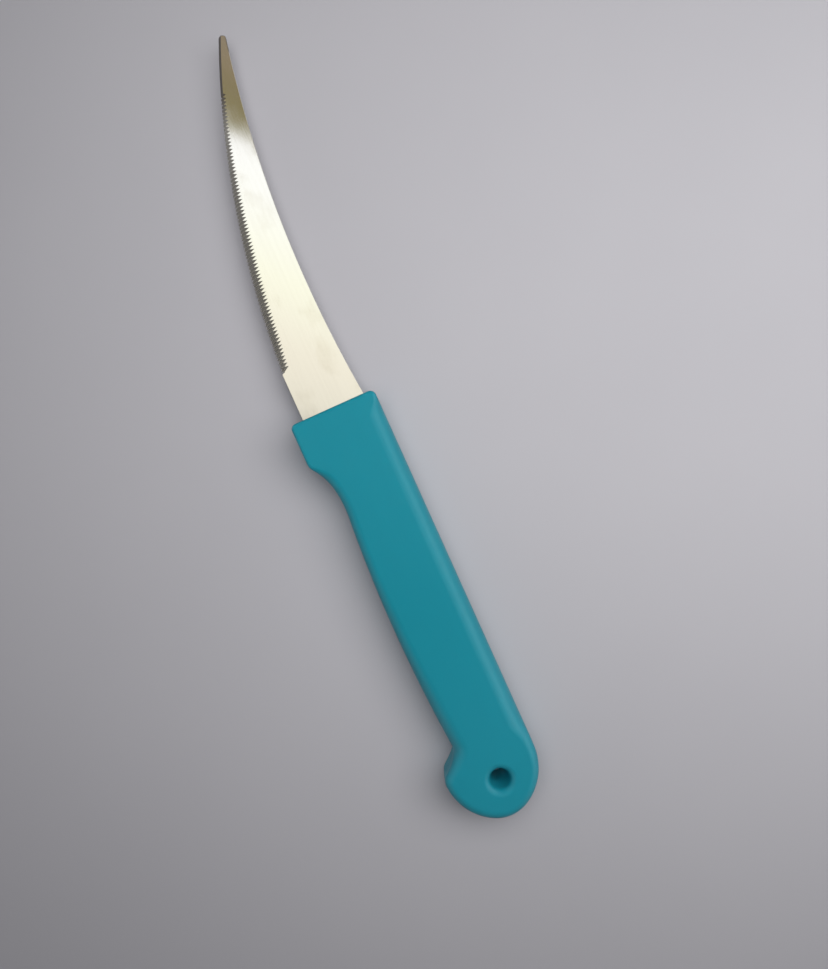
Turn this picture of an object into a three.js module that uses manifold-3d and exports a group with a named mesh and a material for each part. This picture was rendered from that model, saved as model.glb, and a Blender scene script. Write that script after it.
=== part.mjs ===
// Paring knife: a stamped steel blade with a finely toothed edge, held by a one-piece moulded handle.
// Millimetres. The knife lies on its side: +X runs from butt to tip, +Y to the cutting edge, +Z up.
// While it is being built, x = 0 is the front face of the handle, y = 0 the handle's straight back
// and z = 0 the middle of the blade's thickness.
import * as THREE from 'three';
import { mergeVertices } from 'three/addons/utils/BufferGeometryUtils.js';
import Module from 'manifold-3d';

// Blade outline
const BLADE_THICKNESS = 1;
const SPINE_FROM_BACK = 2.7;
const RICASSO_WIDTH = 16.9;
const RICASSO_LENGTH = 13.5;
const EDGE_RADIUS = 243;
const SPINE_SAG = 3.8;
const TIP_DISTANCE = 98.1;
const TIP_WIDTH = 2;
const TIP_NOSE = 0.5;

// Ground edge: a toothed stretch from the heel forward, then a plain one at the tip
const PLAIN_LENGTH = 14.6;
const PLAIN_BAND = 0.65;
const PLAIN_LAND = 0.1;
const HEEL_BAND = 1.75;
const FRONT_BAND = 1;
const TOOTH_SETBACK = 0.15;
const TOOTH_PITCH = 0.94;
const TOOTH_LAND = 0.2;
const GROOVE_DEPTH = 0.3;
const GROOVE_SLANT = 18;

// Tang, hidden in the handle and locked there by two plastic keys through its holes
const SHOULDER_DEPTH = 5;
const TANG_LENGTH = 48;
const TANG_WIDTH = 7.6;
const TANG_FROM_BACK = 10;
const TANG_HOLE = 4.2;
const HOLE_FROM_SHOULDER = 13;
const HOLE_FROM_TANG_END = 11;
const MOULD_GAP = 0.3;

// Handle outline, seen square to its flat side
const HANDLE_LENGTH = 110.25;
const GUARD_WALL = 3.05;
const GUARD_LENGTH = 11.4;
const GUARD_DEPTH = 3.8;
const STEP_ANGLE = 36;
const STEP_CORNER = 1.2;
const STEP_RUN = 15.6;
const GRIP_BULGE = 1.3;
const NECK_RUN = 5.5;
const BEAK_DEPTH = 5.3;
const BEAK_RADIUS = 3;
const BEAK_TURN = 2;
const FLANK_ANGLE = 38;
const END_TIGHTER = 2.35;
const SIDE_FLATTER = 2.1;
const BACK_CORNER = 1.6;
const EDGE_CORNER = 1.4;

// Handle section: thickness and the rounding of its long edges
const HANDLE_THICKNESS = 12;
const FRONT_EDGE = 0.9;
const BACK_EDGE = 4.2;
const BELLY_EDGE = 2.5;
const NECK_EDGE = 4;
const BUTT_EDGE = 2.4;
const EDGE_BLEND = 5;
const ROUNDING_LIMIT = 0.8;

// Hanging hole
const HOLE_DIAMETER = 5.8;
const HOLE_RIM = 1.8;
const HOLE_FROM_BUTT = 9.75;
const HOLE_FROM_BACK = 11.1;

// Fineness of the curved faces, and how far a cut reaches past the faces that it opens
const OUTLINE_STEP = 2.4;
const CURVE_STEPS = 6;
const ROUNDING_STEPS = 5;
const HOLE_SIDES = 36;
const KEY_SIDES = 24;
const CUT_MARGIN = 1;
const WELD = 1e-5;

// Widths that follow from one another, from the blade at the guard to the butt
const RICASSO_EDGE = SPINE_FROM_BACK + RICASSO_WIDTH;
const GUARD_WIDTH = RICASSO_EDGE + GUARD_WALL;
const NECK_WIDTH = GUARD_WIDTH - GUARD_DEPTH;
const BUTT_WIDTH = NECK_WIDTH + BEAK_DEPTH;
const END_RADIUS = BUTT_WIDTH / 2 - END_TIGHTER;
const SIDE_RADIUS = BUTT_WIDTH / 2 + SIDE_FLATTER;

const wasm = await Module();
wasm.setup();
const { degToRad, lerp, smoothstep } = THREE.MathUtils;

function solidFrom(geometry) {
  const bare = geometry.clone();
  bare.deleteAttribute('normal');
  bare.deleteAttribute('uv');
  const merged = mergeVertices(bare, WELD);
  const vertProperties = new Float32Array(merged.attributes.position.array);
  const triVerts = new Uint32Array(merged.index.array);
  return new wasm.Manifold(new wasm.Mesh({ numProp: 3, vertProperties, triVerts }));
}

function geometryFrom(solid) {
  const mesh = solid.getMesh();
  const geometry = new THREE.BufferGeometry();
  geometry.setAttribute('position', new THREE.BufferAttribute(mesh.vertProperties, 3));
  geometry.setIndex(new THREE.BufferAttribute(mesh.triVerts, 1));
  geometry.computeVertexNormals();
  return geometry;
}

// A closed body through rings of points that run anticlockwise seen from its last ring.
function loft(rings, capFaces) {
  const count = rings[0].length;
  const top = (rings.length - 1) * count;
  const index = [];
  for (let ring = 0; ring < top; ring += count) {
    for (let i = 0; i < count; i += 1) {
      const a = ring + i;
      const b = ring + ((i + 1) % count);
      index.push(a, b, b + count, a, b + count, a + count);
    }
  }
  for (const [a, b, c] of capFaces) {
    index.push(c, b, a, top + a, top + b, top + c);
  }
  const geometry = new THREE.BufferGeometry().setFromPoints(rings.flat());
  return geometry.setIndex(index);
}

// Where the line through p along the angle a meets the line through q along the angle b.
function meet(p, a, q, b) {
  const along = new THREE.Vector2(Math.cos(a), Math.sin(a));
  const other = new THREE.Vector2(Math.cos(b), Math.sin(b));
  const reach = q.clone().sub(p).cross(other) / along.cross(other);
  return p.clone().addScaledVector(along, reach);
}

function onCircle(centre, radius, angle) {
  return new THREE.Vector2(Math.cos(angle), Math.sin(angle)).multiplyScalar(radius).add(centre);
}

// The butt has an end that is rounded tighter than half its width, between two sides that are rounded
// flatter. One side runs on into the handle's straight back. The other turns, a little before its crown,
// into the beak, a small round over the flank that rises from the neck.
const sideSweep = Math.acos(SIDE_FLATTER / (SIDE_FLATTER + END_TIGHTER));
const endCentre = new THREE.Vector2(END_RADIUS - HANDLE_LENGTH, BUTT_WIDTH / 2);
const sideX = endCentre.x + (SIDE_RADIUS - END_RADIUS) * Math.sin(sideSweep);
const backSideCentre = new THREE.Vector2(sideX, SIDE_RADIUS);
const beakSideCentre = new THREE.Vector2(sideX, BUTT_WIDTH - SIDE_RADIUS);
const beakEnd = Math.PI / 2 + degToRad(BEAK_TURN);
const beakCentre = onCircle(beakSideCentre, SIDE_RADIUS - BEAK_RADIUS, beakEnd);
const flankAngle = degToRad(FLANK_ANGLE);
const beakStart = onCircle(beakCentre, BEAK_RADIUS, flankAngle);

// The grip's belly is a flat arc from the recess behind the guard to the neck, both equally wide.
const neck = new THREE.Vector2(beakStart.x + NECK_RUN, NECK_WIDTH);
const recess = new THREE.Vector2(-GUARD_LENGTH - STEP_RUN, NECK_WIDTH);

// The handle's outline, anticlockwise from the front end of its back.
function handleOutline() {
  const halfChord = (recess.x - neck.x) / 2;
  const bellyRadius = (halfChord ** 2 + GRIP_BULGE ** 2) / (2 * GRIP_BULGE);
  const bellyCentre = new THREE.Vector2(neck.x + halfChord, NECK_WIDTH + GRIP_BULGE - bellyRadius);
  const recessAngle = recess.clone().sub(bellyCentre).angle();
  const neckAngle = neck.clone().sub(bellyCentre).angle();

  const stepCorner = new THREE.Vector2(-GUARD_LENGTH, GUARD_WIDTH);
  const stepAngle = Math.PI + degToRad(STEP_ANGLE);
  const stepStart = onCircle(stepCorner, STEP_CORNER, stepAngle);
  const stepBend = meet(stepStart, stepAngle, recess, recessAngle + Math.PI / 2);
  const notchBend = meet(neck, neckAngle + Math.PI / 2, beakStart, flankAngle + Math.PI / 2);
  const endFrom = Math.PI / 2 + sideSweep;
  const endTo = 1.5 * Math.PI - sideSweep;

  const outline = new THREE.Shape();
  outline.moveTo(-BACK_CORNER, 0);
  outline.absarc(-BACK_CORNER, BACK_CORNER, BACK_CORNER, -Math.PI / 2, 0);
  outline.lineTo(0, GUARD_WIDTH - EDGE_CORNER);
  outline.absarc(-EDGE_CORNER, GUARD_WIDTH - EDGE_CORNER, EDGE_CORNER, 0, Math.PI / 2);
  outline.lineTo(STEP_CORNER - GUARD_LENGTH, GUARD_WIDTH);
  outline.quadraticCurveTo(stepCorner.x, stepCorner.y, stepStart.x, stepStart.y);
  outline.quadraticCurveTo(stepBend.x, stepBend.y, recess.x, recess.y);
  outline.absarc(bellyCentre.x, bellyCentre.y, bellyRadius, recessAngle, neckAngle);
  outline.quadraticCurveTo(notchBend.x, notchBend.y, beakStart.x, beakStart.y);
  outline.absarc(beakCentre.x, beakCentre.y, BEAK_RADIUS, flankAngle, beakEnd);
  outline.absarc(beakSideCentre.x, beakSideCentre.y, SIDE_RADIUS, beakEnd, endFrom);
  outline.absarc(endCentre.x, endCentre.y, END_RADIUS, endFrom, endTo);
  outline.absarc(backSideCentre.x, backSideCentre.y, SIDE_RADIUS, endTo, 1.5 * Math.PI);
  outline.lineTo(-BACK_CORNER, 0);
  return outline;
}

function outlinePoints(outline) {
  const points = [];
  for (const curve of outline.curves) {
    const fewest = curve.isLineCurve ? 1 : CURVE_STEPS;
    const steps = Math.max(fewest, Math.ceil(curve.getLength() / OUTLINE_STEP));
    points.push(...curve.getPoints(steps).slice(0, -1));
  }
  return points.filter((point, i) => point.distanceTo(points[(i + 1) % points.length]) > WELD);
}

// Radius of the handle's edge rounding at a point of its outline: small round the guard and the
// front face, full along the back, growing along the belly up to the neck, and middling round the
// butt. No rounding takes more than its limit of a corner's radius or of half the thickness.
function edgeRounding(point) {
  const onBack = point.y < BUTT_WIDTH / 2;
  const belly = lerp(BELLY_EDGE, NECK_EDGE, smoothstep(-point.x, -recess.x, -neck.x));
  const grip = Math.min(onBack ? BACK_EDGE : belly, (ROUNDING_LIMIT * HANDLE_THICKNESS) / 2);
  const front = Math.min(FRONT_EDGE, ROUNDING_LIMIT * BACK_CORNER, ROUNDING_LIMIT * EDGE_CORNER);
  const butt = Math.min(BUTT_EDGE, ROUNDING_LIMIT * BEAK_RADIUS);
  const start = onBack ? BACK_CORNER : GUARD_LENGTH;
  const pastFront = smoothstep(-point.x, start, start + EDGE_BLEND);
  const pastNeck = smoothstep(-point.x, -neck.x, -neck.x + EDGE_BLEND);
  return lerp(lerp(front, grip, pastFront), butt, pastNeck);
}

// The handle as a slab whose edges are rounded off to both flat sides.
function roundedSlab() {
  const points = outlinePoints(handleOutline());
  const count = points.length;
  const inward = points.map((point, i) => {
    const before = point.clone().sub(points[(i + count - 1) % count]).normalize();
    const after = points[(i + 1) % count].clone().sub(point).normalize();
    const along = before.add(after).normalize();
    return new THREE.Vector2(-along.y, along.x);
  });
  const rings = [];
  for (const side of [-1, 1]) {
    for (let step = 0; step <= ROUNDING_STEPS; step += 1) {
      const turn = side < 0 ? ROUNDING_STEPS - step : step;
      const angle = (turn / ROUNDING_STEPS) * (Math.PI / 2);
      rings.push(points.map((point, i) => {
        const radius = edgeRounding(point);
        const inset = point.clone().addScaledVector(inward[i], radius * (1 - Math.cos(angle)));
        const height = HANDLE_THICKNESS / 2 - radius + radius * Math.sin(angle);
        return new THREE.Vector3(inset.x, inset.y, side * height);
      }));
    }
  }
  const flat = rings[0].map((point) => new THREE.Vector2(point.x, point.y));
  return loft(rings, THREE.ShapeUtils.triangulateShape(flat, []));
}

// The hanging hole as a turned plug that flares out over a rounded rim at both sides.
function holePlug() {
  const bore = HOLE_DIAMETER / 2;
  const half = HANDLE_THICKNESS / 2;
  const profile = [new THREE.Vector2(0, half + CUT_MARGIN)];
  profile.push(new THREE.Vector2(bore + HOLE_RIM, half + CUT_MARGIN));
  for (const side of [1, -1]) {
    for (let step = 0; step <= ROUNDING_STEPS; step += 1) {
      const turn = side > 0 ? ROUNDING_STEPS - step : step;
      const angle = (turn / ROUNDING_STEPS) * (Math.PI / 2);
      const radius = bore + HOLE_RIM * (1 - Math.cos(angle));
      const height = half - HOLE_RIM + HOLE_RIM * Math.sin(angle);
      profile.push(new THREE.Vector2(radius, side * height));
    }
  }
  profile.push(new THREE.Vector2(bore + HOLE_RIM, -half - CUT_MARGIN));
  profile.push(new THREE.Vector2(0, -half - CUT_MARGIN));
  const plug = new THREE.LatheGeometry(profile.reverse(), HOLE_SIDES);
  plug.rotateX(Math.PI / 2);
  return plug.translate(HOLE_FROM_BUTT - HANDLE_LENGTH, HOLE_FROM_BACK, 0);
}

// Draws the part of the blade inside the handle, from its edge side to its spine side, grown by a gap.
function drawTang(outline, gap) {
  const shoulder = -SHOULDER_DEPTH - gap;
  const half = TANG_WIDTH / 2 + gap;
  const end = half - TANG_LENGTH - gap;
  outline.lineTo(shoulder, RICASSO_EDGE + gap);
  outline.lineTo(shoulder, TANG_FROM_BACK + half);
  outline.lineTo(end, TANG_FROM_BACK + half);
  outline.absarc(end, TANG_FROM_BACK, half, Math.PI / 2, 1.5 * Math.PI);
  outline.lineTo(shoulder, TANG_FROM_BACK - half);
  outline.lineTo(shoulder, SPINE_FROM_BACK - gap);
}

function tangHoleCentres() {
  const places = [-SHOULDER_DEPTH - HOLE_FROM_SHOULDER, HOLE_FROM_TANG_END - TANG_LENGTH];
  return places.map((x) => new THREE.Vector2(x, TANG_FROM_BACK));
}

// A flat plate of the given outline, centred on the middle of the blade.
function plate(outline, thickness) {
  const options = { depth: thickness, bevelEnabled: false, curveSegments: KEY_SIDES };
  return new THREE.ExtrudeGeometry(outline, options).translate(0, 0, -thickness / 2);
}

// The pocket that the tang fills, without the keys that stand in its two holes.
function tangPocket() {
  const depth = BLADE_THICKNESS + 2 * MOULD_GAP;
  const outline = new THREE.Shape();
  outline.moveTo(CUT_MARGIN, SPINE_FROM_BACK - MOULD_GAP);
  outline.lineTo(CUT_MARGIN, RICASSO_EDGE + MOULD_GAP);
  drawTang(outline, MOULD_GAP);
  let pocket = solidFrom(plate(outline, depth));
  for (const centre of tangHoleCentres()) {
    const radius = TANG_HOLE / 2 - MOULD_GAP;
    const key = new THREE.CylinderGeometry(radius, radius, depth + CUT_MARGIN, KEY_SIDES);
    key.rotateX(Math.PI / 2).translate(centre.x, centre.y, 0);
    pocket = pocket.subtract(solidFrom(key));
  }
  return pocket;
}

function handleGeometry() {
  const slab = solidFrom(roundedSlab());
  return geometryFrom(slab.subtract(solidFrom(holePlug())).subtract(tangPocket()));
}

// The cutting edge is an arc that starts level with the handle. Angles on it run from +Y to the tip.
const heelAngle = Math.asin(RICASSO_LENGTH / EDGE_RADIUS);
const edgeEnd = Math.asin(TIP_DISTANCE / EDGE_RADIUS);
const toothedEnd = edgeEnd - PLAIN_LENGTH / EDGE_RADIUS;
const edgeCentre = new THREE.Vector2(0, RICASSO_EDGE - EDGE_RADIUS * Math.cos(heelAngle));

function edgePoint(angle, offset, height) {
  const radius = EDGE_RADIUS + offset;
  return new THREE.Vector3(radius * Math.sin(angle), edgeCentre.y + radius * Math.cos(angle), height);
}

function bladeOutline() {
  const edgeTip = edgePoint(edgeEnd, 0, 0);
  const spineTip = onCircle(edgeCentre, EDGE_RADIUS - TIP_WIDTH, Math.PI / 2 - edgeEnd);
  const spineRoot = new THREE.Vector2(0, SPINE_FROM_BACK);
  const chord = spineTip.clone().sub(spineRoot);
  const spineRadius = chord.length() ** 2 / (8 * SPINE_SAG) + SPINE_SAG / 2;
  const square = new THREE.Vector2(-chord.y, chord.x).normalize();
  const spineCentre = spineRoot.clone().addScaledVector(chord, 0.5);
  spineCentre.addScaledVector(square, SPINE_SAG - spineRadius);
  const spineStart = spineTip.clone().sub(spineCentre).angle();
  const spineStop = spineRoot.clone().sub(spineCentre).angle();
  const edgeNose = onCircle(edgeTip, TIP_NOSE, -edgeEnd);
  const spineNose = onCircle(spineTip, TIP_NOSE, spineStart - Math.PI / 2);

  const outline = new THREE.Shape();
  outline.moveTo(spineTip.x, spineTip.y);
  outline.bezierCurveTo(spineNose.x, spineNose.y, edgeNose.x, edgeNose.y, edgeTip.x, edgeTip.y);
  const [tip, heel] = [edgeEnd, heelAngle].map((angle) => Math.PI / 2 - angle);
  outline.absarc(edgeCentre.x, edgeCentre.y, EDGE_RADIUS, tip, heel);
  drawTang(outline, 0);
  outline.lineTo(spineRoot.x, spineRoot.y);
  outline.absarc(spineCentre.x, spineCentre.y, spineRadius, spineStop, spineStart, true);
  for (const centre of tangHoleCentres()) {
    outline.holes.push(new THREE.Path().absarc(centre.x, centre.y, TANG_HOLE / 2, 0, 2 * Math.PI));
  }
  return outline;
}

// The wedge that grinds the edge on the upper face, between two angles. Its face is as wide there as the
// band given for each end, and comes down to the underside at an offset from the outline. Both ends
// have the slant of the grooves.
function grindingWedge(from, to, fromBand, toBand, footOffset) {
  const face = BLADE_THICKNESS / 2;
  const lean = Math.tan(degToRad(GROOVE_SLANT)) / EDGE_RADIUS;
  const steps = Math.ceil(((to - from) * EDGE_RADIUS) / OUTLINE_STEP);
  const rings = [];
  for (let step = 0; step <= steps; step += 1) {
    const angle = lerp(from, to, step / steps);
    const band = lerp(fromBand, toBand, step / steps);
    const slope = BLADE_THICKNESS / (band + footOffset);
    const top = face + CUT_MARGIN * slope;
    const low = face - (band + CUT_MARGIN) * slope;
    const section = [[-band - CUT_MARGIN, top], [CUT_MARGIN, low], [CUT_MARGIN, top]];
    rings.push(section.map(([offset, height]) => edgePoint(angle - offset * lean, offset, height)));
  }
  return loft(rings, [[0, 1, 2]]);
}

// One groove across the toothed band, a V that follows the ground face from above its inner border
// out past the edge, slanted towards the handle.
function groove(angle) {
  const band = lerp(HEEL_BAND, FRONT_BAND, (angle - heelAngle) / (toothedEnd - heelAngle));
  const slope = BLADE_THICKNESS / (band - TOOTH_SETBACK);
  const out = new THREE.Vector3(Math.sin(angle), Math.cos(angle), 0);
  const forward = new THREE.Vector3(Math.cos(angle), -Math.sin(angle), 0);
  const slant = degToRad(GROOVE_SLANT);
  const run = out.clone().multiplyScalar(Math.cos(slant)).addScaledVector(forward, -Math.sin(slant));
  run.z = -slope * Math.cos(slant);
  run.normalize();
  const lift = new THREE.Vector3(out.x * slope, out.y * slope, 1).normalize();
  const across = lift.clone().cross(run);
  const half = (TOOTH_PITCH - TOOTH_LAND) / 2;
  const section = new THREE.Shape();
  section.moveTo(0, -GROOVE_DEPTH);
  section.lineTo(half, 0);
  section.lineTo(half, CUT_MARGIN);
  section.lineTo(-half, CUT_MARGIN);
  section.lineTo(-half, 0);
  const rise = Math.hypot(1, slope);
  const tail = ((band + GROOVE_DEPTH / slope) * rise) / Math.cos(slant) + CUT_MARGIN;
  const cut = new THREE.ExtrudeGeometry(section, { depth: tail + CUT_MARGIN, bevelEnabled: false });
  cut.translate(0, 0, -tail);
  const place = new THREE.Matrix4().makeBasis(across, lift, run);
  place.setPosition(edgePoint(angle, -TOOTH_SETBACK, -BLADE_THICKNESS / 2));
  return cut.applyMatrix4(place);
}

function bladeGeometry() {
  const pastTip = edgeEnd + (TIP_NOSE + CUT_MARGIN) / EDGE_RADIUS;
  const cuts = [
    grindingWedge(heelAngle, toothedEnd, HEEL_BAND, FRONT_BAND, -TOOTH_SETBACK),
    grindingWedge(toothedEnd, pastTip, PLAIN_BAND, PLAIN_BAND, PLAIN_LAND),
  ];
  const teeth = Math.floor(((toothedEnd - heelAngle) * EDGE_RADIUS) / TOOTH_PITCH);
  for (let tooth = 0; tooth < teeth; tooth += 1) {
    cuts.push(groove(heelAngle + ((tooth + 0.5) * TOOTH_PITCH) / EDGE_RADIUS));
  }
  const whole = solidFrom(plate(bladeOutline(), BLADE_THICKNESS));
  return geometryFrom(cuts.reduce((blade, cut) => blade.subtract(solidFrom(cut)), whole));
}

const steel = new THREE.MeshStandardMaterial({ color: 0xd9d5c8, roughness: 0.25, metalness: 1 });
const plastic = new THREE.MeshStandardMaterial({ color: 0x1d8393, roughness: 0.45, metalness: 0 });

const blade = new THREE.Mesh(bladeGeometry(), steel);
blade.name = 'blade';
const handle = new THREE.Mesh(handleGeometry(), plastic);
handle.name = 'handle';

// The finished knife stands with the bottom centre of its box at the origin.
const knife = new THREE.Group();
knife.name = 'paring_knife';
knife.add(blade, handle);
const box = new THREE.Box3().setFromObject(knife);
const centre = box.getCenter(new THREE.Vector3());
knife.position.set(-centre.x, -centre.y, -box.min.z);
knife.updateMatrixWorld(true);

export default knife;
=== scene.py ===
"""Paring knife: a toothed steel blade in a teal plastic handle, lying on a pale table."""
import math

import bmesh
import bpy
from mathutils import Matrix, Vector
from mathutils.geometry import intersect_line_line


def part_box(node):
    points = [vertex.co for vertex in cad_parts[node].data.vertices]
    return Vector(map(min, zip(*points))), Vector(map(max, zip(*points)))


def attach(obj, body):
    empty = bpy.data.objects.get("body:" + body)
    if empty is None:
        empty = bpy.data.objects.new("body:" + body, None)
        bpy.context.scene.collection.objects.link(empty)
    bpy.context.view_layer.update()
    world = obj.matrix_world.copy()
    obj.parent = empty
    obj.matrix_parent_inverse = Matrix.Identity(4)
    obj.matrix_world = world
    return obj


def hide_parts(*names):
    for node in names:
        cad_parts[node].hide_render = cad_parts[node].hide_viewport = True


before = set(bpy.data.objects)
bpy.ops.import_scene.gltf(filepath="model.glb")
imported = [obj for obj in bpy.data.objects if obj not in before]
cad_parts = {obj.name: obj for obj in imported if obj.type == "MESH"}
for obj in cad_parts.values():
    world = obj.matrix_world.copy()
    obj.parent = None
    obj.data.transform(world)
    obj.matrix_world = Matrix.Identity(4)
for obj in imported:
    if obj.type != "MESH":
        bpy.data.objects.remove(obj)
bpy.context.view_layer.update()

# Blade
# One strip of stainless steel 1 mm thick, blanked to an upswept outline in one piece with its tang.
# The edge is ground on the upper face only, and then notched across that bevel by a V-shaped wheel.
mm = 0.001
handle_low, handle_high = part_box("handle")
blade_low, blade_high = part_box("blade")
datum = Vector((handle_high.x, handle_low.y, (blade_low.z + blade_high.z) / 2))

blade_thickness = 1.0
blade_face = blade_thickness / 2
spine_from_back = 2.7
spine_sag = 3.8
ricasso_edge = 19.6
ricasso_length = 13.5
edge_radius = 243
tip_distance = 98.1
tip_width = 2.0
tip_corner = 0.5
tip_corner_steps = 5
rollover = 0.1
rollover_steps = 3
shoulder_depth = 5.0
tang_length = 48.0
tang_width = 7.6
tang_from_back = 10.0
tang_hole = 4.2
tang_hole_facets = 48
tang_hole_distances = (18.0, 37.0)
drill_length = 4.0
merge_distance = 0.002
same_place = 0.01
same_height = 0.1

heel_angle = math.asin(ricasso_length / edge_radius)
tip_angle = math.asin(tip_distance / edge_radius)
edge_centre_height = ricasso_edge - edge_radius * math.cos(heel_angle)


def at(x, y, z=0.0):
    """A point in millimetres from the handle's front face and straight back and the blade's middle."""
    return datum + Vector((x, y, z)) * mm


def edge_point(angle, inset, z):
    """A point inside the edge's arc by the inset, at an angle measured from square to the handle."""
    radius = edge_radius - inset
    return at(radius * math.sin(angle), edge_centre_height + radius * math.cos(angle), z)


def start_outline(name, point):
    """A new piece that is one vertex yet, in edit mode, for the next strokes to draw on from."""
    bpy.ops.object.select_all(action="DESELECT")
    bpy.ops.mesh.primitive_plane_add(size=mm, location=point)
    piece = bpy.context.object
    piece.name = piece.data.name = name
    bpy.ops.object.transform_apply(rotation=False, scale=False)
    bpy.ops.object.mode_set(mode="EDIT")
    bpy.ops.mesh.select_mode(type="VERT")
    bpy.ops.mesh.merge(type="CENTER")
    return piece


def pen():
    """Where the last stroke ended, at the one vertex that is selected."""
    mesh = bmesh.from_edit_mesh(bpy.context.object.data)
    return next(vertex.co.copy() for vertex in mesh.verts if vertex.select)


def line_to(point):
    bpy.ops.mesh.extrude_vertices_move(TRANSFORM_OT_translate={"value": point - pen()})


def arc_about(centre, degrees, axis=(0, 0, 1), facet=0.7, fewest=6):
    """An arc round a centre, anticlockwise from above, in steps of about one facet's length."""
    length = (pen() - centre).length * math.radians(abs(degrees))
    steps = max(fewest, math.ceil(length / (facet * mm)))
    bpy.ops.mesh.spin(steps=steps, angle=-math.radians(degrees), center=centre, axis=axis)


def join_ends():
    """Merges the vertices that lie on each other, such as an outline's first and last."""
    bpy.ops.mesh.select_all(action="SELECT")
    bpy.ops.mesh.remove_doubles(threshold=merge_distance * mm)


def fill_outline():
    join_ends()
    bpy.ops.mesh.edge_face_add()


def extrude(offset):
    bpy.ops.mesh.extrude_region_move(TRANSFORM_OT_translate={"value": offset})


def select_where(kind, test):
    """In edit mode, selects the vertices, edges or faces that pass a test, and nothing else."""
    bpy.ops.mesh.select_mode(type=kind)
    bpy.ops.mesh.select_all(action="DESELECT")
    data = bpy.context.object.data
    mesh = bmesh.from_edit_mesh(data)
    elements = {"VERT": mesh.verts, "EDGE": mesh.edges, "FACE": mesh.faces}[kind]
    for element in elements:
        element.select_set(bool(test(element)))
    mesh.select_flush_mode()
    bmesh.update_edit_mesh(data)


def leave_edit_mode():
    bpy.ops.mesh.select_all(action="SELECT")
    bpy.ops.mesh.normals_make_consistent(inside=False)
    bpy.ops.object.mode_set(mode="OBJECT")


def apply_modifier(piece, modifier):
    bpy.context.view_layer.objects.active = piece
    bpy.ops.object.modifier_apply(modifier=modifier.name)


def cut(piece, cutter):
    """Takes the cutter's shape out of the piece, and clears the cutter away."""
    difference = piece.modifiers.new("cut", "BOOLEAN")
    difference.operation = "DIFFERENCE"
    difference.solver = "EXACT"
    difference.object = cutter
    apply_modifier(piece, difference)
    bpy.data.objects.remove(cutter)


spine_root = at(0, spine_from_back, -blade_face)
spine_tip = edge_point(tip_angle, tip_width, -blade_face)
edge_tip = edge_point(tip_angle, 0, -blade_face)
spine_chord = spine_tip - spine_root
spine_radius = spine_chord.length ** 2 / (8 * spine_sag * mm) + spine_sag * mm / 2
spine_square = Vector((-spine_chord.y, spine_chord.x, 0)).normalized()
spine_centre = spine_root + spine_chord / 2 + spine_square * (spine_sag * mm - spine_radius)
spine_sweep = 2 * math.asin(spine_chord.length / 2 / spine_radius)
edge_centre = at(0, edge_centre_height, -blade_face)
tang_low = tang_from_back - tang_width / 2
tang_high = tang_from_back + tang_width / 2
tang_end = tang_width / 2 - tang_length

blade = start_outline("blade_ground", spine_root)
arc_about(spine_centre, -math.degrees(spine_sweep))
line_to(edge_tip)
arc_about(edge_centre, math.degrees(tip_angle - heel_angle))
line_to(at(-shoulder_depth, ricasso_edge, -blade_face))
line_to(at(-shoulder_depth, tang_high, -blade_face))
line_to(at(tang_end, tang_high, -blade_face))
arc_about(at(tang_end, tang_from_back, -blade_face), 180)
line_to(at(-shoulder_depth, tang_low, -blade_face))
line_to(at(-shoulder_depth, spine_from_back, -blade_face))
line_to(spine_root)
fill_outline()
tip_corners = (spine_tip, edge_tip)
select_where(
    "VERT", lambda vertex: min((vertex.co - c).length for c in tip_corners) < same_place * mm
)
bpy.ops.mesh.bevel(affect="VERTICES", offset=tip_corner * mm, segments=tip_corner_steps)
bpy.ops.mesh.select_all(action="SELECT")
extrude((0, 0, blade_thickness * mm))
bpy.ops.mesh.select_all(action="SELECT")
bpy.ops.mesh.normals_make_consistent(inside=False)
select_where(
    "EDGE", lambda edge: abs(edge.verts[0].co.z - edge.verts[1].co.z) < same_height * mm
)
bpy.ops.mesh.bevel(offset=rollover * mm, segments=rollover_steps, profile=0.5)
leave_edit_mode()

for distance in tang_hole_distances:
    bpy.ops.object.select_all(action="DESELECT")
    bpy.ops.mesh.primitive_cylinder_add(
        vertices=tang_hole_facets,
        radius=tang_hole / 2 * mm,
        depth=drill_length * mm,
        location=at(-distance, tang_from_back),
    )
    cut(blade, bpy.context.object)

# The bevel is swept round the edge's centre by a wheel of triangular section.
bevel_width = 0.85
bevel_land = 0.06
wheel_margin = 0.5
bevel_run = (bevel_width - bevel_land) / blade_thickness
wheel_in = bevel_width + bevel_run * wheel_margin
wheel_out = bevel_land - bevel_run * wheel_margin
wheel_top = blade_face + wheel_margin
wheel_overrun = math.radians(1)
wheel_sweep = tip_angle + wheel_overrun - heel_angle
sweep_steps = math.ceil(wheel_sweep * edge_radius)

bevel_wheel = start_outline("bevel_wheel", edge_point(heel_angle, wheel_in, wheel_top))
line_to(edge_point(heel_angle, wheel_out, -wheel_top))
line_to(edge_point(heel_angle, wheel_out, wheel_top))
line_to(edge_point(heel_angle, wheel_in, wheel_top))
join_ends()
bpy.ops.mesh.spin(steps=sweep_steps, angle=wheel_sweep, center=edge_centre, axis=(0, 0, 1))
bpy.ops.mesh.select_all(action="SELECT")
bpy.ops.mesh.fill_holes(sides=3)
leave_edit_mode()
cut(blade, bevel_wheel)

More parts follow.
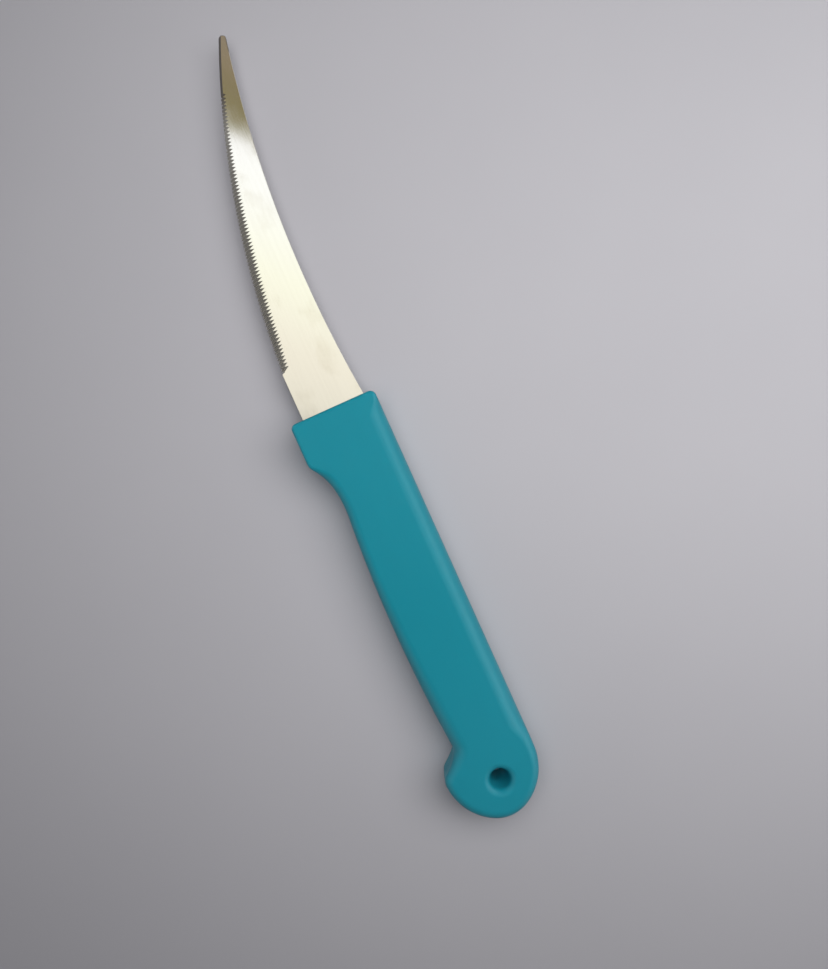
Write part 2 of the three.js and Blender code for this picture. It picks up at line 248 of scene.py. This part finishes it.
# Each tooth gap is a V that starts as a point on the flat, runs slanted outwards and breaks through
# the underside short of the edge. The first gaps are a little shorter than those after them, and
# towards the tip the gaps get shorter and steeper.
tooth_pitch = 0.94
tooth_count = 77
heel_reach = 2.35
full_reach = 2.8
front_reach = 1.5
full_from = 0.12
taper_start = 0.35
taper_end = 1.05
gap_exit = 0.45
gap_slant = math.radians(19)
gap_half_angle = math.radians(41)
gap_bottom = 0.02
gap_height = 1.1
gap_length = 4.0
gap_lead = 0.3


def eased(value, low, high):
    """How far a value lies between two others, eased, from 0 to 1."""
    share = min(max((value - low) / (high - low), 0), 1)
    return share * share * (3 - 2 * share)


def gap_reach(share):
    """How far inside the edge a gap starts, at a share of the toothed stretch from heel to tip."""
    reach = heel_reach + (full_reach - heel_reach) * eased(share, 0, full_from)
    return reach + (front_reach - reach) * eased(share, taper_start, taper_end)


def place_gap(angle, reach):
    """Adds one V-shaped bar to the cutter, as it crosses the edge at an angle of the edge's arc."""
    outward = Vector((math.sin(angle), math.cos(angle), 0))
    forward = Vector((math.cos(angle), -math.sin(angle), 0))
    fall = blade_thickness / (reach - gap_exit)
    run = outward * math.cos(gap_slant) - forward * math.sin(gap_slant)
    run.z = -fall * math.cos(gap_slant)
    run.normalize()
    lift = (outward * fall + Vector((0, 0, 1))).normalized()
    across = lift.cross(run)
    ahead = reach * math.tan(gap_slant) / edge_radius
    start = edge_point(angle + ahead, reach, blade_face) - run * gap_lead * mm
    half = gap_bottom + gap_height * math.tan(gap_half_angle)
    section = ((-gap_bottom, 0), (gap_bottom, 0), (half, gap_height), (-half, gap_height))
    bpy.ops.mesh.primitive_plane_add(size=mm)
    mesh = bmesh.from_edit_mesh(bpy.context.object.data)
    face = next(face for face in mesh.faces if face.select)
    for vertex, (side, height) in zip(face.verts, section):
        vertex.co = start + (across * side + lift * height) * mm
    bmesh.update_edit_mesh(bpy.context.object.data)
    extrude(run * gap_length * mm)


# Neighbouring bars overlap, so every other one is cut in a pass of its own.
for first in (0, 1):
    bpy.ops.object.select_all(action="DESELECT")
    bpy.ops.mesh.primitive_plane_add(size=mm)
    gap_wheel = bpy.context.object
    bpy.ops.object.mode_set(mode="EDIT")
    bpy.ops.mesh.delete(type="VERT")
    for tooth in range(first, tooth_count, 2):
        gap_angle = heel_angle + (tooth + 0.5) * tooth_pitch / edge_radius
        place_gap(gap_angle, gap_reach(tooth / tooth_count))
    leave_edit_mode()
    cut(blade, gap_wheel)


class Wire:
    """A shader socket that works in sums: each sum adds the Math node that it needs."""

    def __init__(self, finish, socket):
        self.finish = finish
        self.socket = socket

    def math(self, operation, first, second):
        return self.finish.node("Math", {"operation": operation}, {0: first, 1: second})

    def __add__(self, other):
        return self.math("ADD", self, other)

    __radd__ = __add__

    def __sub__(self, other):
        return self.math("SUBTRACT", self, other)

    def __rsub__(self, other):
        return self.math("SUBTRACT", other, self)

    def __mul__(self, other):
        return self.math("MULTIPLY", self, other)

    __rmul__ = __mul__


class Finish:
    """The node tree of a material or of the world, filled node by node."""

    def __init__(self, owner):
        owner.use_nodes = True
        self.tree = owner.node_tree
        self.tree.nodes.clear()

    def node(self, kind, settings, sockets, output=0):
        """Adds a node, makes its settings, then its values and links, and gives back one output."""
        node = self.tree.nodes.new("ShaderNode" + kind)
        for name, value in settings.items():
            if name == "stops":
                elements = node.color_ramp.elements
                while len(elements) < len(value):
                    elements.new(1)
                for element, (position, colour) in zip(elements, value):
                    element.position = position
                    element.color = (*colour, 1)
            else:
                setattr(node, name, value)
        for name, value in sockets.items():
            if isinstance(value, Wire):
                self.tree.links.new(value.socket, node.inputs[name])
            else:
                node.inputs[name].default_value = value
        if node.outputs:
            return Wire(self, node.outputs[output])

    def place(self, scale, turn=0.0):
        """The piece's own coordinates, in metres, turned about the upright and stretched."""
        coordinates = self.node("TexCoord", {}, {}, "Object")
        sockets = {"Vector": coordinates, "Scale": scale, "Rotation": (0, 0, turn)}
        return self.node("Mapping", {}, sockets)

    def noise(self, scale, turn=0.0, detail=2.0):
        sockets = {"Vector": self.place(scale, turn), "Scale": 1, "Detail": detail}
        return self.node("TexNoise", {}, sockets, "Fac")

    def between(self, value, low, high):
        """How far a value lies between two others, eased, from 0 to 1."""
        settings = {"interpolation_type": "SMOOTHSTEP"}
        return self.node("MapRange", settings, {"Value": value, "From Min": low, "From Max": high})

    def mix(self, share, first, second):
        return self.node("Mix", {"data_type": "RGBA"}, {0: share, 6: first, 7: second}, 2)

    def bump(self, height, depth, strength=1.0, under=None):
        sockets = {"Height": height, "Distance": depth, "Strength": strength}
        if under:
            sockets["Normal"] = under
        return self.node("Bump", {}, sockets)

    def surface(self, sockets):
        shader = self.node("BsdfPrincipled", {}, sockets)
        self.node("OutputMaterial", {}, {"Surface": shader})


def rolled_steel():
    """Bright rolled sheet: lengthwise rolling lines, faint waves, rubbed streaks and tan haze."""
    material = bpy.data.materials.new("rolled_steel")
    finish = Finish(material)
    lines = finish.noise((60, 9000, 60), detail=4)
    bands = finish.noise((25, 1400, 25), detail=3)
    haze = finish.between(finish.noise((110, 170, 110), 0.4, 4), 0.5, 0.8)
    rubbed = finish.between(finish.noise((900, 14000, 900), 0.25, 2), 0.66, 0.74)
    waves = finish.noise((28, 45, 28), detail=1)
    bright = finish.mix(bands, (0.96, 0.955, 0.93, 1), (0.9, 0.89, 0.86, 1))
    colour = finish.mix(haze * 0.5, bright, (0.8, 0.77, 0.7, 1))
    lined = finish.bump(lines, 0.0000012)
    finish.surface({
        "Base Color": colour,
        "Metallic": 1,
        "Roughness": 0.045 + 0.03 * lines + 0.06 * haze + 0.06 * rubbed,
        "Normal": finish.bump(waves, 0.00005, under=lined),
    })
    return material


def ground_steel(tip_start, tip_end):
    """Steel as the wheel leaves it: fine marks square across the edge, duller than the sheet, and
    darker along the thin tip, where the darkening is a painted dark reflection."""
    material = bpy.data.materials.new("ground_steel")
    finish = Finish(material)
    marks = finish.noise((16000, 300, 300), 0.2, 3)
    burr = finish.noise((2500, 2500, 2500), detail=2)
    along = finish.node("SeparateXYZ", {}, {"Vector": finish.place((1, 1, 1))}, "X")
    # Painted dark reflection: the colour darkens along the tip to show the shade its bevel mirrors.
    painted_dark_tip = finish.between(along, tip_start, tip_end)
    grey = finish.mix(burr, (0.54, 0.52, 0.48, 1), (0.42, 0.405, 0.365, 1))
    finish.surface({
        "Base Color": finish.mix(painted_dark_tip, grey, (0.12, 0.105, 0.085, 1)),
        "Metallic": 1,
        "Roughness": 0.24 + 0.16 * marks,
        "Normal": finish.bump(marks, 0.000004),
    })
    return material


def blanked_steel():
    """The sheared rim of the blank, with upright tear lines."""
    material = bpy.data.materials.new("blanked_steel")
    finish = Finish(material)
    tears = finish.noise((5000, 5000, 250), detail=3)
    finish.surface({
        "Base Color": finish.mix(tears, (0.55, 0.53, 0.49, 1), (0.36, 0.34, 0.31, 1)),
        "Metallic": 1,
        "Roughness": 0.32 + 0.2 * tears,
        "Normal": finish.bump(tears, 0.00001),
    })
    return material


def shade(piece, degrees):
    """Smooth shading up to an angle, with flat faces kept flat right up to their rounded rims."""
    bpy.ops.object.select_all(action="DESELECT")
    piece.select_set(True)
    bpy.context.view_layer.objects.active = piece
    bpy.ops.object.shade_smooth_by_angle(angle=math.radians(degrees))
    weighted = piece.modifiers.new("weighted", "WEIGHTED_NORMAL")
    weighted.keep_sharp = True
    apply_modifier(piece, weighted)


teeth_end = ricasso_length + tooth_count * tooth_pitch
# Over this length before the teeth end, the ground steel gets its painted dark reflection.
dark_tip_length = 14.0
rim_normal = 0.35
face_normal = 0.995
wheel_finish = ground_steel(at(teeth_end - dark_tip_length, 0).x, at(teeth_end, 0).x)
for material in (rolled_steel(), wheel_finish, blanked_steel()):
    blade.data.materials.append(material)
ground = 1
blanked = 2
for face in blade.data.polygons:
    from_edge = edge_radius - (face.center - edge_centre).xy.length / mm
    if abs(face.normal.z) < rim_normal:
        face.material_index = blanked
    elif abs(face.normal.z) < face_normal and from_edge < full_reach:
        face.material_index = ground
shade(blade, degrees=25)
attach(blade, "root")
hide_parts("blade")

# Handle
# One moulding of teal polypropylene, made round the tang so that plastic fills the tang's holes.
# It has flat sides, rounded long edges, a guard at the front and a butt with a hanging hole.
handle_length = 110.25
handle_side = (handle_high.z - handle_low.z) / mm / 2
guard_width = 22.65
guard_length = 11.4
step_angle = math.radians(36)
step_corner = 3.7
recess_distance = 27.0
neck_width = 18.85
grip_bulge = 1.3
butt_width = 24.14
end_narrowing = 2.35
side_flattening = 2.1
end_radius = butt_width / 2 - end_narrowing
side_radius = butt_width / 2 + side_flattening
beak_radius = 3.0
beak_turn = math.radians(2)
flank_angle = math.radians(38)
neck_run = 5.5
back_corner = 1.6
edge_corner = 1.4
seam_height = 0.05
seam_half_width = 0.11
corner_facet = 0.35
belly_facet = 1.2
longest_facet = 2.0
straight_cuts = 36


def heading(angle):
    return Vector((math.cos(angle), math.sin(angle), 0))


def meet(point, direction, other_point, other_direction):
    """Where two straight lines cross."""
    crossing = intersect_line_line(
        point, point + direction, other_point, other_point + other_direction
    )
    return crossing[0]


def round_corner(corner, onward, radius):
    """A line towards a corner, rounded off there to run on towards the next point."""
    arriving = (pen() - corner).normalized()
    leaving = (onward - corner).normalized()
    half = arriving.angle(leaving) / 2
    line_to(corner + arriving * (radius * mm / math.tan(half)))
    centre = corner + (arriving + leaving).normalized() * (radius * mm / math.sin(half))
    side = math.copysign(1, leaving.cross(arriving).z)
    arc_about(centre, side * math.degrees(math.pi - 2 * half), facet=corner_facet)


def curve_to(bend, end, steps):
    """A curve that leaves towards the bend and comes to its end from there."""
    start = pen()
    for step in range(1, steps + 1):
        share = step / steps
        line_to(start.lerp(bend, share).lerp(bend.lerp(end, share), share))


end_centre = at(end_radius - handle_length, butt_width / 2)
side_sweep = math.acos((side_radius - butt_width / 2) / (side_radius - end_radius))
side_x = end_radius - handle_length + (side_radius - end_radius) * math.sin(side_sweep)
beak_side_centre = at(side_x, butt_width - side_radius)
beak_end = math.pi / 2 + beak_turn
beak_centre = beak_side_centre + heading(beak_end) * (side_radius - beak_radius) * mm
beak_start = beak_centre + heading(flank_angle) * beak_radius * mm
neck = beak_start + Vector((neck_run * mm, 0, 0))
neck.y = at(0, neck_width).y
recess = at(-recess_distance, neck_width)
half_chord = (recess.x - neck.x) / 2
belly_radius = (half_chord ** 2 + (grip_bulge * mm) ** 2) / (2 * grip_bulge * mm)
belly_centre = (recess + neck) / 2 + Vector((0, grip_bulge * mm - belly_radius, 0))
belly_lean = math.asin(half_chord / belly_radius)
step_top = at(-guard_length, guard_width)
step_down = heading(math.pi + step_angle)
step_foot = meet(step_top, step_down, recess, heading(-belly_lean))
flank = heading(flank_angle - math.pi / 2)
neck_foot = meet(neck, heading(math.pi + belly_lean), beak_start, flank)

handle = start_outline("handle_moulding", at(-handle_length / 2, 0))
round_corner(at(0, 0), at(0, guard_width), back_corner)
round_corner(at(0, guard_width), step_top, edge_corner)
round_corner(step_top, step_foot, step_corner)
curve_to(step_foot, recess, steps=20)
arc_about(belly_centre, 2 * math.degrees(belly_lean), facet=belly_facet)
curve_to(neck_foot, beak_start, steps=24)
arc_about(beak_centre, math.degrees(beak_end - flank_angle), facet=corner_facet)
arc_about(beak_side_centre, math.degrees(side_sweep - beak_turn))
arc_about(end_centre, 180 - 2 * math.degrees(side_sweep))
arc_about(at(side_x, side_radius), math.degrees(side_sweep))
line_to(at(-handle_length / 2, 0))
select_where("EDGE", lambda edge: edge.calc_length() > longest_facet * mm)
bpy.ops.mesh.subdivide(number_cuts=straight_cuts)
fill_outline()

# The long edges are rounded least round the guard, fully along the back, and along the belly more
# and more up to the neck. The mould's halves leave a fine raised seam round the middle of the wall.
front_edge = 0.9
back_edge = 4.2
belly_edge = 2.5
neck_edge = 4.0
butt_edge = 2.4
edge_blend = 5.0
rounding_steps = 12


def edge_rounding(point):
    """Radius of the rounded edge at a point of the outline."""
    behind = (datum.x - point.x) / mm
    on_back = point.y < end_centre.y
    neck_distance = (datum.x - neck.x) / mm
    belly_growth = eased(behind, recess_distance, neck_distance)
    grip = back_edge if on_back else belly_edge + (neck_edge - belly_edge) * belly_growth
    start = back_corner if on_back else guard_length
    past_front = eased(behind, start, start + edge_blend)
    past_neck = eased(behind, neck_distance, neck_distance + edge_blend)
    along = front_edge + (grip - front_edge) * past_front
    return along + (butt_edge - along) * past_neck


def rounded_ring(side, step):
    """Places the ring at a step of the rounding, from the wall, step 0, to the flat side."""
    turn = math.pi / 2 * step / rounding_steps

    def spot(radius):
        height = handle_side - radius + radius * math.sin(turn)
        return seam_height + radius * (1 - math.cos(turn)), side * height

    return spot


def seam_ring(inset, height):
    return lambda radius: (inset, height)


ring_steps = range(rounding_steps + 1)
rings = [rounded_ring(-1, step) for step in reversed(ring_steps)]
rings.append(seam_ring(seam_height, -seam_half_width))
rings.append(seam_ring(0, 0))
rings.append(seam_ring(seam_height, seam_half_width))
rings += [rounded_ring(1, step) for step in ring_steps]

mesh = bmesh.from_edit_mesh(handle.data)
number = mesh.verts.layers.int.new("number")
mesh.faces.ensure_lookup_table()
mesh.faces[0].normal_update()
turn_in = mesh.faces[0].normal.z
outline = [vertex.co.copy() for vertex in mesh.faces[0].verts]
for index, vertex in enumerate(mesh.faces[0].verts):
    vertex[number] = index
inward = []
for before, after in zip(outline[-1:] + outline[:-1], outline[1:] + outline[:1]):
    along = (after - before).normalized()
    inward.append(Vector((-along.y, along.x, 0)) * turn_in)
radii = [edge_rounding(point) for point in outline]
bmesh.update_edit_mesh(handle.data)

for index, ring in enumerate(rings):
    if index:
        extrude((0, 0, seam_half_width * mm))
    mesh = bmesh.from_edit_mesh(handle.data)
    number = mesh.verts.layers.int["number"]
    for vertex in mesh.verts:
        if vertex.select:
            place = vertex[number]
            inset, height = ring(radii[place])
            vertex.co = outline[place] + inward[place] * inset * mm
            vertex.co.z = datum.z + height * mm
    bmesh.update_edit_mesh(handle.data)
leave_edit_mode()

# The hanging hole is cored through with a turned plug. It tapers downwards, as the mould's pin does
# to come free, and flares over a wide rounded rim at the upper side and a narrow one at the lower.
hole_radius = 2.5
hole_rim = 1.8
foot_radius = 1.8
foot_rim = 0.5
hole_from_butt = 9.75
hole_from_back = 11.1
hole_facets = 72
rim_facet = 0.2
plug_margin = 1.0
hole_x = hole_from_butt - handle_length
plug_half = handle_side + plug_margin
rim_x = hole_x + hole_radius + hole_rim
foot_x = hole_x + foot_radius + foot_rim

plug = start_outline("hole_plug", at(hole_x, hole_from_back, plug_half))
line_to(at(rim_x, hole_from_back, plug_half))
line_to(at(rim_x, hole_from_back, handle_side))
rim_centre = at(rim_x, hole_from_back, handle_side - hole_rim)
arc_about(rim_centre, -90, axis=(0, 1, 0), facet=rim_facet)
line_to(at(hole_x + foot_radius, hole_from_back, foot_rim - handle_side))
foot_centre = at(foot_x, hole_from_back, foot_rim - handle_side)
arc_about(foot_centre, -90, axis=(0, 1, 0), facet=rim_facet)
line_to(at(foot_x, hole_from_back, -plug_half))
line_to(at(hole_x, hole_from_back, -plug_half))
hole_centre = at(hole_x, hole_from_back)
bpy.ops.mesh.select_all(action="SELECT")
bpy.ops.mesh.spin(steps=hole_facets, angle=2 * math.pi, center=hole_centre, axis=(0, 0, 1))
join_ends()
leave_edit_mode()
cut(handle, plug)

# The plastic sits tight round the tang, so a copy of the blade cores the slot and leaves the keys.
tang_core = blade.copy()
tang_core.data = blade.data.copy()
bpy.context.collection.objects.link(tang_core)
cut(handle, tang_core)


def teal_plastic(sheen_start, sheen_end):
    """Satin polypropylene that lets a little light through: mould grain, flow marks and pale scuffs in
    two directions. Towards the butt it pales by a shade, a painted sheen."""
    material = bpy.data.materials.new("teal_plastic")
    finish = Finish(material)
    grain = finish.noise((5200, 5200, 5200), detail=3)
    flow = finish.noise((22, 70, 40), 0.15, 3)
    cloud = finish.noise((260, 260, 260), detail=3)
    scuffs = finish.between(finish.noise((350, 9000, 900), 0.5, 2), 0.69, 0.76)
    rubs = finish.between(finish.noise((500, 7000, 900), -0.35, 2), 0.7, 0.77)
    marks = finish.between(cloud, 0.5, 0.75) * (scuffs + rubs)
    along = finish.node("SeparateXYZ", {}, {"Vector": finish.place((1, 1, 1))}, "X")
    # Painted sheen: the body colour lightens by a shade towards the butt, where the handle shows more
    # sheen.
    painted_sheen = finish.between(along, sheen_start, sheen_end)
    fresh = finish.mix(flow, (0.0035, 0.258, 0.343, 1), (0.006, 0.282, 0.37, 1))
    body = finish.mix(painted_sheen, fresh, (0.011, 0.292, 0.386, 1))
    colour = finish.mix(marks * 0.16, body, (0.12, 0.4, 0.47, 1))
    moulded = finish.bump(grain, 0.000022, 0.6)
    finish.surface({
        "Base Color": colour,
        "Roughness": 0.36 + 0.1 * cloud + 0.06 * grain - 0.05 * marks,
        "IOR": 1.48,
        "Subsurface Weight": 0.4,
        "Subsurface Radius": (0.4, 1, 1),
        "Subsurface Scale": 0.0015,
        "Normal": finish.bump(flow, 0.00004, under=moulded),
    })
    return material


# The painted sheen on the handle starts here and is full towards the butt.
sheen_from = -50.0
sheen_to = -95.0
handle.data.materials.clear()
handle.data.materials.append(teal_plastic(at(sheen_from, 0).x, at(sheen_to, 0).x))
for face in handle.data.polygons:
    face.material_index = 0
shade(handle, degrees=35)
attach(handle, "root")
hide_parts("handle")

# Table
# A pale lilac-grey sheet that the knife lies on, with a hardly visible mottle. Well away from the
# knife it fades from the camera's sight, so that it runs into the plain room without an edge.
table_size = 5.0
fade_start = 0.2
fade_end = 0.36
bpy.ops.object.select_all(action="DESELECT")
bpy.ops.mesh.primitive_plane_add(size=table_size, location=(0, 0, handle_low.z))
table = bpy.context.object
table.name = "table"
pale_sheet = bpy.data.materials.new("pale_sheet")
sheet_finish = Finish(pale_sheet)
mottle = sheet_finish.noise((14, 14, 14), detail=4)
fibre = sheet_finish.noise((3000, 3000, 3000), detail=2)
sheet = sheet_finish.node("BsdfPrincipled", {}, {
    "Base Color": sheet_finish.mix(mottle, (0.49, 0.487, 0.53, 1), (0.53, 0.527, 0.57, 1)),
    "Roughness": 0.7,
    "Normal": sheet_finish.bump(fibre, 0.00002, 0.3),
})
from_knife = sheet_finish.place((1, 1, 1))
away = sheet_finish.node("VectorMath", {"operation": "LENGTH"}, {0: from_knife}, "Value")
in_sight = sheet_finish.node("LightPath", {}, {}, "Is Camera Ray")
faded = sheet_finish.between(away, fade_start, fade_end) * in_sight
clear = sheet_finish.node("BsdfTransparent", {}, {})
blended = sheet_finish.node("MixShader", {}, {0: faded, 1: sheet, 2: clear})
sheet_finish.node("OutputMaterial", {}, {"Surface": blended})
table.data.materials.append(pale_sheet)

# Light and camera
# The camera looks straight down. A soft lamp stands at the upper right of its frame, and a weak strip
# lamp beside the handle's back draws the light band there. The steel mirrors a room of its own, pale
# with a dark warm side that shows in the last stretch of the blade.
camera_over = (-25.66, 0.63)
camera_height = 184.3
camera_turn = math.radians(-114.27)
camera_lens = 27.05
camera_sensor = 36.0

bpy.ops.object.camera_add(location=at(*camera_over, camera_height), rotation=(0, 0, camera_turn))
camera = bpy.context.object
camera.data.sensor_width = camera_sensor
camera.data.lens = camera_lens
bpy.context.scene.camera = camera
frame_right = Vector((math.cos(camera_turn), math.sin(camera_turn), 0))
frame_up = Vector((-math.sin(camera_turn), math.cos(camera_turn), 0))


def soft_lamp(place, rotation, size, energy):
    """An oblong lamp of slightly warm white light."""
    bpy.ops.object.light_add(type="AREA", location=place, rotation=rotation)
    lamp = bpy.context.object
    lamp.data.shape = "RECTANGLE"
    lamp.data.size, lamp.data.size_y = size
    lamp.data.energy = energy
    lamp.data.color = (1.0, 0.985, 0.96)
    return lamp


lamp_right = 120.0
lamp_up = 62.0
lamp_height = 235.0
lamp_place = at(*camera_over) + (frame_right * lamp_right + frame_up * lamp_up) * mm
lamp_place.z = handle_low.z + lamp_height * mm
main_lamp = soft_lamp(lamp_place, (0, 0, camera_turn), size=(0.45, 0.24), energy=0.935)
main_lamp.visible_glossy = False

strip_aside = 285.0
strip_height = 190.0
strip_place = at(-handle_length / 2, -strip_aside, strip_height)
strip_lean = math.atan2(strip_aside, strip_height)
strip_lamp = soft_lamp(strip_place, (strip_lean, 0, 0), size=(0.5, 0.18), energy=0.33)
strip_lamp.visible_diffuse = False

# The mirrored colours run from 0, opposite the room's dark side, to 1, at that side.
world = bpy.data.worlds.new("pale_room")
bpy.context.scene.world = world
room = Finish(world)
fill_light = (0.06, 0.06, 0.065, 1)
seen_grey = (0.27, 0.27, 0.29, 1)
dark_side = Vector((0.646, -0.686, -0.336))
sky = room.node("TexCoord", {}, {}, "Generated")
lean = room.node("VectorMath", {"operation": "DOT_PRODUCT"}, {0: sky, 1: dark_side}, "Value")
aside = room.node("VectorMath", {"operation": "DOT_PRODUCT"}, {0: sky, 1: frame_right}, "Value")
room_stops = [
    (0.0, (0.27, 0.27, 0.275)),
    (0.31, (0.2, 0.2, 0.205)),
    (0.355, (0.86, 0.82, 0.7)),
    (0.385, (0.95, 0.9, 0.77)),
    (0.425, (1.05, 1.05, 0.88)),
    (0.475, (1.08, 1.09, 1.06)),
    (0.4978, (1.09, 1.09, 1.09)),
    (0.5005, (0.24, 0.212, 0.1)),
    (0.519, (0.24, 0.2, 0.11)),
    (0.535, (0.285, 0.23, 0.155)),
    (0.58, (0.22, 0.2, 0.17)),
    (1.0, (0.2, 0.2, 0.21)),
]
overhead = room.node("ValToRGB", {"stops": room_stops}, {"Fac": lean * 0.5 + 0.5})
left_wall = room.mix(room.between(aside, -0.4, -0.7), overhead, (0.95, 0.95, 0.97, 1))
mirrored = room.mix(room.between(aside, 0.38, 0.8), left_wall, (0.95, 0.94, 0.92, 1))
on_gloss = room.node("LightPath", {}, {}, "Is Glossy Ray")
on_sight = room.node("LightPath", {}, {}, "Is Camera Ray")
lit = room.mix(on_gloss, fill_light, mirrored)
room_colour = room.mix(on_sight, lit, seen_grey)
glow = room.node("Background", {}, {"Color": room_colour, "Strength": 1})
room.node("OutputWorld", {}, {"Surface": glow})

bpy.context.scene.view_settings.view_transform = "Standard"
